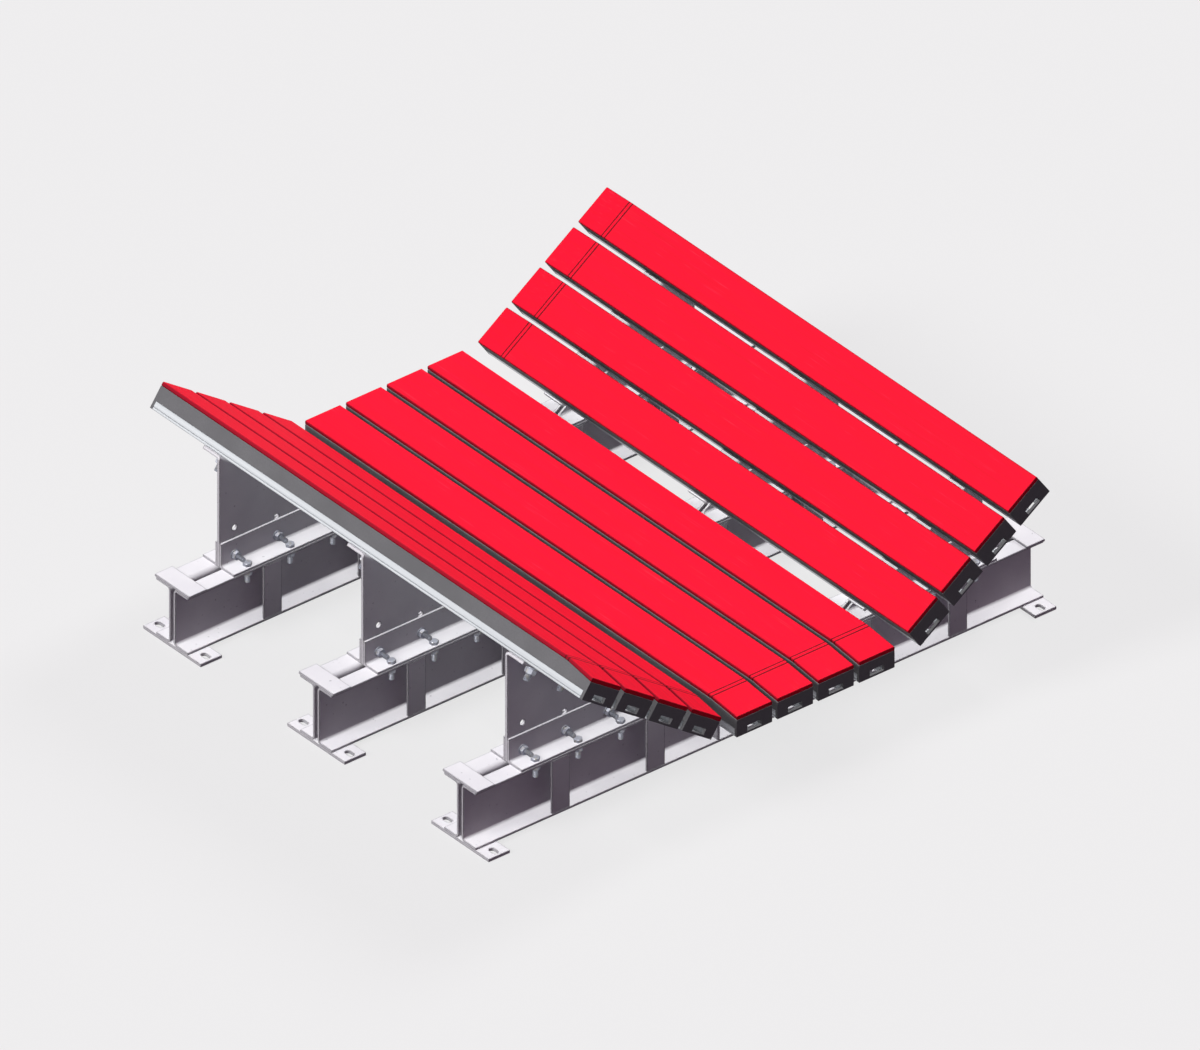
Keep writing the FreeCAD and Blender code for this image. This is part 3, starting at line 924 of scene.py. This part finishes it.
    def welded(self) -> "Shape":
        """Makes points that fall together one, and leaves out the faces that shrink to nothing.

        Returns:
            The welded shape.
        """
        places: dict[tuple[float, ...], int] = {}
        index = [places.setdefault(tuple(round(c, 4) for c in p), len(places)) for p in self.points]
        faces = [tuple(dict.fromkeys(index[i] for i in face)) for face in self.faces]
        return Shape([Vector(p) for p in places], [face for face in faces if len(face) > 2])

    def piece(self, name: str, material: bpy.types.Material, slot: str) -> bpy.types.Object:
        """Makes the shape a piece that rides on the support frame.

        Args:
            name: The piece's name.
            material: Its material.
            slot: The record's material slot for its finish; not used.

        Returns:
            The piece.
        """
        mesh = bpy.data.meshes.new(name)
        mesh.from_pydata([point * MM for point in self.points], [], self.faces)
        edit = bmesh.new()
        edit.from_mesh(mesh)
        bmesh.ops.recalc_face_normals(edit, faces=edit.faces)
        edit.to_mesh(mesh)
        edit.free()
        mesh.shade_smooth()
        mesh.set_sharp_from_angle(angle=CRISP_ANGLE)
        mesh.materials.append(material)
        piece = bpy.data.objects.new(name, mesh)
        bpy.context.scene.collection.objects.link(piece)
        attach(piece, FRAME_BODY)
        log.info("%s: %d faces, rides on %s", name, len(mesh.polygons), FRAME_BODY)
        return piece


@dataclass(frozen=True)
class Fastener:
    """Sizes of a metric hexagon fastener with coarse thread.

    A spring washer's bore is wider than the thread by its clearance, and its outside is a multiple
    of the flats.
    """

    diameter: float
    pitch: float
    flats: float
    head: float
    nut: float
    washer: float
    washer_thickness: float
    washer_ease: float = 0.4
    spring_clearance: float = 0.4
    spring_outside: float = 1.12

    def washer_shape(self) -> Shape:
        """Makes a flat washer from Z 0 up, its rim rounded over by the press.

        Returns:
            The washer.
        """
        radius, thick, ease = self.washer / 2, self.washer_thickness, self.washer_ease
        rim = ((radius - ease, 0.0), (radius, ease), (radius, thick - ease), (radius - ease, thick))
        return Shape.turned(rim, sides=32)

    def head_shape(self) -> Shape:
        """A hexagon head that stands on Z 0."""
        return Shape.hexagon(self.flats, self.head, nut=False)

    def nut_stack(self, seat: float, spring: float = 0.0) -> Shape:
        """Makes a nut on its washers.

        Args:
            seat: The height on Z on which the flat washer lies.
            spring: The thickness of a spring washer between washer and nut, or 0 for none.

        Returns:
            The stack.
        """
        stack = Shape().add(self.washer_shape(), Matrix.Translation((0, 0, seat)))
        level = seat + self.washer_thickness
        if spring:
            bore, outside = self.diameter + self.spring_clearance, self.flats * self.spring_outside
            stack.add(Shape.split_ring(bore, outside, spring), Matrix.Translation((0, 0, level)))
            level += spring
        nut = Shape.hexagon(self.flats, self.nut, nut=True)
        return stack.add(nut, Matrix.Translation((0, 0, level)))

    def nut_end(self, reach: float) -> Shape:
        """Makes a nut on its washer from Z 0 up, with the bolt's thread coming out of it.

        Args:
            reach: The height that the thread comes to.

        Returns:
            The bolt's end.
        """
        middle = self.washer_thickness + self.nut / 2
        rod = Shape.threaded(self.diameter, self.pitch, reach - middle)
        return self.nut_stack(0.0).add(rod, Matrix.Translation((0, 0, middle)))


M12 = Fastener(
    diameter=12.0, pitch=1.75, flats=19.0, head=7.5, nut=10.0, washer=24.0, washer_thickness=2.5
)
M16 = Fastener(
    diameter=16.0, pitch=2.0, flats=24.0, head=10.0, nut=13.0, washer=30.0, washer_thickness=3.0
)


@dataclass
class AngleBolts:
    """The bolts of the wing angles: upright to the beams, and across through the wing plates."""

    finish: bpy.types.Material
    upright_offset: float = 40.0
    upright_rows: tuple[float, ...] = (620.0, 500.0, 380.0)
    leg_top: float = 164.0
    flange_under: float = 152.0
    upright_tip: float = 119.5
    cross_rows: tuple[float, ...] = (632.0, 512.0, 392.0)
    cross_height: float = 182.0
    angle_face: float = 10.0
    cross_tip: float = 43.0

    def upright_set(self, numbers: Iterator[int]) -> Shape:
        """Makes the bolts that go down through angle and flange.

        Args:
            numbers: The count of the bolts, which sets how far each is turned.

        Returns:
            All of them.
        """
        head, below = M12.head_shape(), M12.nut_end(self.flange_under - self.upright_tip)
        offsets = (-self.upright_offset, self.upright_offset)
        bolts = Shape()
        for beam, side, offset, row in product(Beam, SIDES, offsets, self.upright_rows):
            spin = Matrix.Rotation(next(numbers) * NEXT_TURN, 4, "Z")
            for part, height, facing in (
                (head, self.leg_top, FACING_UP),
                (below, self.flange_under, FACING_DOWN),
            ):
                at = Matrix.Translation((beam.x + offset, side * row, height))
                bolts.add(part, at @ facing @ spin)
        return bolts

    def cross_set(self, numbers: Iterator[int]) -> Shape:
        """Makes the bolts that go through angle, wing plate and angle.

        Args:
            numbers: The count of the bolts, which sets how far each is turned.

        Returns:
            All of them.
        """
        tail, head_end = M12.nut_end(self.cross_tip - self.angle_face), M12.washer_shape()
        head_end.add(M12.head_shape(), Matrix.Translation((0, 0, M12.washer_thickness)))
        bolts = Shape()
        for beam, side, row in product(Beam, SIDES, self.cross_rows):
            spin = Matrix.Rotation(next(numbers) * NEXT_TURN, 4, "Z")
            for part, sign in ((tail, 1), (head_end, -1)):
                x = beam.x + sign * self.angle_face
                at = Matrix.Translation((x, side * row, self.cross_height))
                turn = Matrix.Rotation(sign * math.pi / 2, 4, "Y")
                bolts.add(part, at @ turn @ spin)
        return bolts

    def build(self) -> list[bpy.types.Object]:
        """Builds the two sets of bolts.

        Returns:
            The upright set and the cross set.
        """
        numbers = count(1)
        return [
            self.upright_set(numbers).piece("angle_bolts_upright", self.finish, BOLT_SLOT),
            self.cross_set(numbers).piece("angle_bolts_cross", self.finish, BOLT_SLOT),
        ]


@dataclass
class TBolts:
    """The hammer-head bolts whose heads sit in the bars' T-slots, one for each bar on each beam.

    Heights are from the underside of the track.
    """

    finish: bpy.types.Material
    head_size: Span = (24.0, 38.0)
    head_low: float = 5.7
    head_high: float = 15.7
    head_ease: float = 1.5
    neck_low: float = -5.8
    neck_ease: float = 0.8
    tip: float = -44.0
    wing_offset: float = 36.0
    centre_offset: float = 34.0
    wing_grip: float = 8.0
    centre_grip: float = 12.0
    spring: float = 2.5
    track_height: float = 20.0

    def seat(self, bank: Bank, bar: str) -> Vector:
        """Finds the middle of the underside of a bar's track.

        Args:
            bank: The bar's bank.
            bar: The bar's name.

        Returns:
            The point, at X 0.
        """
        low, high = (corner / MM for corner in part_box(f"{bar}_track"))
        middle = (low + high) / 2
        if bank is Bank.centre:
            return Vector((0.0, middle.y, low.z))
        down = bank.tilt @ Vector((0, 0, self.track_height / 2))
        return Vector((0.0, middle.y, middle.z)) - down

    def bolt_shape(self) -> Shape:
        """Makes a bolt with its thread downwards.

        Returns:
            The bolt.
        """
        bolt = Shape.bar(*self.head_size, self.head_low, self.head_high, self.head_ease)
        side = M16.diameter
        neck = Shape.bar(side, side, self.neck_low, self.head_low, self.neck_ease)
        rod = Shape.threaded(M16.diameter, M16.pitch, self.neck_low - self.tip)
        bolt.add(neck, FACING_UP)
        return bolt.add(rod, Matrix.Translation((0, 0, self.neck_low)) @ FACING_DOWN)

    def build(self) -> list[bpy.types.Object]:
        """Builds the bolts and their nuts in place of the plain CAD ones.

        Returns:
            The bolts and the nuts.
        """
        bolt = self.bolt_shape()
        bolts, nuts = Shape(), Shape()
        numbers = count(1)
        for bank in Bank:
            grip = self.centre_grip if bank is Bank.centre else self.wing_grip
            offset = self.centre_offset if bank is Bank.centre else self.wing_offset
            nut = Shape().add(M16.nut_stack(grip, self.spring), FACING_DOWN)
            for bar, beam in product(bank.bars(), Beam):
                along = Vector((beam.x + beam.fold * offset, 0.0, 0.0))
                at = Matrix.Translation(self.seat(bank, bar) + along) @ bank.tilt
                bolts.add(bolt, at)
                nuts.add(nut, at @ Matrix.Rotation(next(numbers) * NEXT_TURN, 4, "Z"))
        pieces = [
            bolts.piece("t_bolts_threaded", self.finish, BOLT_SLOT),
            nuts.piece("t_bolt_nuts_and_washers", self.finish, BOLT_SLOT),
        ]
        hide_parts("t_bolts")
        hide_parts("t_bolt_nuts")
        return pieces


@dataclass(frozen=True)
class Ease:
    """An eased edge: its width, and the number of faces across it."""

    width: float
    faces: int


def dress_node(node: bpy.types.Object, material: bpy.types.Material, ease: Ease) -> None:
    """Lays a finish on a CAD node and eases its edges.

    Args:
        node: The CAD node's object.
        material: The finish.
        ease: How its edges are eased.
    """
    for slot in node.material_slots:
        slot.material = material
    node.data.shade_smooth()
    weld = node.modifiers.new("weld", "WELD")
    weld.merge_threshold = WELD_GAP * MM
    join = node.modifiers.new("flat_faces", "DECIMATE")
    join.decimate_type = "DISSOLVE"
    join.angle_limit = FLAT_ANGLE
    bevel = node.modifiers.new("eased_edges", "BEVEL")
    bevel.width = ease.width * MM
    bevel.segments = ease.faces
    bevel.limit_method = "ANGLE"
    bevel.angle_limit = EASED_ANGLE
    bevel.loop_slide = False
    bevel.use_clamp_overlap = False
    shade = node.modifiers.new("face_normals", "WEIGHTED_NORMAL")
    shade.keep_sharp = False
    log.info("%s: %s, edges eased by %.1f mm", node.name, material.name, ease.width)


@dataclass
class ImpactBars:
    """The twelve bars: a red wear strip on a rubber block on an aluminium track."""

    strip_ease: Ease = Ease(0.8, 2)
    rubber_ease: Ease = Ease(0.8, 2)
    track_ease: Ease = Ease(0.4, 1)

    def dress(self, nodes: dict[str, bpy.types.Object]) -> None:
        """Dresses every layer of every bar.

        Args:
            nodes: The CAD nodes by name.
        """
        rubber = MouldedRubber("moulded_rubber").make()
        track = ExtrudedAluminium("extruded_aluminium_die_lines").make()
        for bank in Bank:
            strip = SkivedPolyethylene(f"skived_polyethylene_{bank.name}", bank).make()
            for bar in bank.bars():
                dress_node(nodes[f"{bar}_wear_strip"], strip, self.strip_ease)
                dress_node(nodes[f"{bar}_rubber"], rubber, self.rubber_ease)
                dress_node(nodes[f"{bar}_track"], track, self.track_ease)


@dataclass
class SupportFrame:
    """The beams, wings, feet and stiffeners under the bars."""

    ease: Ease = Ease(0.8, 2)
    plates: tuple[str, ...] = (
        "foot_plates",
        "tie_plates",
        "saddle_plates",
        "flange_strips",
        "web_stiffeners",
    )

    def dress(self, nodes: dict[str, bpy.types.Object]) -> None:
        """Dresses every piece of the frame.

        Args:
            nodes: The CAD nodes by name.
        """
        paint = SprayedSteelPaint("sprayed_steel_paint").make()
        names = list(self.plates)
        for beam in Beam:
            names += [f"{beam.name}_beam_{channel}_channel" for channel in ("back", "front")]
            names += [f"{beam.name}_{side}_wing_plate" for side in ("left", "right")]
            names.append(f"{beam.name}_wing_angles")
        for name in names:
            dress_node(nodes[name], paint, self.ease)


@dataclass(frozen=True)
class Lamp:
    """A soft sun.

    The source is the direction that the light comes from, the level is the brightness of a white
    face turned to it, and the softness is its width in degrees. A lamp without shadow is a fill
    light: it reaches under the bars and isn't scattered on, so that the side faces stay dark.
    """

    name: str
    source: Direction
    level: float
    shadow: bool = True
    softness: float = 18.0

    def hang(self) -> None:
        """Hangs the lamp."""
        lamp = bpy.data.lights.new(self.name, "SUN")
        lamp.energy = self.level * math.pi
        lamp.angle = math.radians(self.softness)
        lamp.use_shadow = self.shadow
        if not self.shadow:
            lamp.cycles.max_bounces = 0
        holder = bpy.data.objects.new(self.name, lamp)
        holder.rotation_euler = Vector(self.source).to_track_quat("Z", "Y").to_euler()
        bpy.context.scene.collection.objects.link(holder)


@dataclass
class Studio:
    """The floor, the lamps, the surrounding light and the camera, in metres.

    The picture's right-hand direction and the direction towards the camera follow the directions of
    the three axes in the photograph, which is a parallel view.
    """

    floor_half: float = 20.0
    right: Direction = (0.6301, 0.7765, 0.0)
    towards: Direction = (0.6489, -0.5265, 0.5494)
    look_up: float = 0.2057
    view_width: float = 2.6258
    distance: float = 12.0
    sight: float = 100.0
    lamps: tuple[Lamp, ...] = (
        Lamp("fill_light", (-0.2, -0.2, 1.0), 0.74, shadow=False),
        Lamp("left_light", (-0.16, -0.8, 0.6), 0.34),
        Lamp("right_light", (-0.16, 0.8, 0.6), 0.26),
    )
    backdrop_colour: str = "#EEEEEE"
    ambient_colour: str = "#FFD6FA"
    ambient_level: float = 0.11

    def build(self) -> None:
        """Builds the whole studio."""
        self.lay_floor()
        for lamp in self.lamps:
            lamp.hang()
        self.light_surroundings()
        self.set_camera()

    def lay_floor(self) -> None:
        """Lays the floor at Z 0."""
        half = self.floor_half
        mesh = bpy.data.meshes.new("studio_floor")
        corners = [(-half, -half, 0.0), (half, -half, 0.0), (half, half, 0.0), (-half, half, 0.0)]
        mesh.from_pydata(corners, [], [(0, 1, 2, 3)])
        mesh.materials.append(StudioFloor("studio_floor").make())
        floor = bpy.data.objects.new("studio_floor", mesh)
        bpy.context.scene.collection.objects.link(floor)

    def light_surroundings(self) -> None:
        """Makes the surroundings pale where they are seen, and a low even light elsewhere."""
        world = bpy.data.worlds.new("studio")
        world.use_nodes = True
        tree = world.node_tree
        tree.nodes.clear()
        low, pale = (
            add_node(tree, "ShaderNodeBackground", {"Color": linear(colour), "Strength": level})
            for colour, level in (
                (self.ambient_colour, self.ambient_level),
                (self.backdrop_colour, 1.0),
            )
        )
        shown = add_node(tree, "ShaderNodeMixShader", {"Fac": is_seen(tree), 1: low, 2: pale})
        add_node(tree, "ShaderNodeOutputWorld", {"Surface": shown})
        bpy.context.scene.world = world

    def set_camera(self) -> None:
        """Sets the camera for a parallel view of the whole bed."""
        right, towards = Vector(self.right).normalized(), Vector(self.towards).normalized()
        up = towards.cross(right)
        place = up * self.look_up + towards * self.distance
        camera = bpy.data.cameras.new("camera")
        camera.type = "ORTHO"
        camera.ortho_scale = self.view_width
        camera.clip_end = self.sight
        holder = bpy.data.objects.new("camera", camera)
        turn = Matrix((right, up, towards)).transposed()
        holder.matrix_world = Matrix.Translation(place) @ turn.to_4x4()
        bpy.context.scene.collection.objects.link(holder)
        bpy.context.scene.camera = holder


def main() -> None:
    """Builds the impact bed around its frame."""
    logging.basicConfig(level=logging.INFO, format="%(name)s: %(message)s")
    for leftover in list(bpy.data.objects):
        bpy.data.objects.remove(leftover)
    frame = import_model()
    bpy.context.scene.view_settings.view_transform = "Standard"
    ImpactBars().dress(frame["nodes"])
    SupportFrame().dress(frame["nodes"])
    zinc = ZincPlate("zinc_plate").make()
    TBolts(zinc).build()
    AngleBolts(zinc).build()
    Studio().build()


if __name__ == "__main__":
    main()
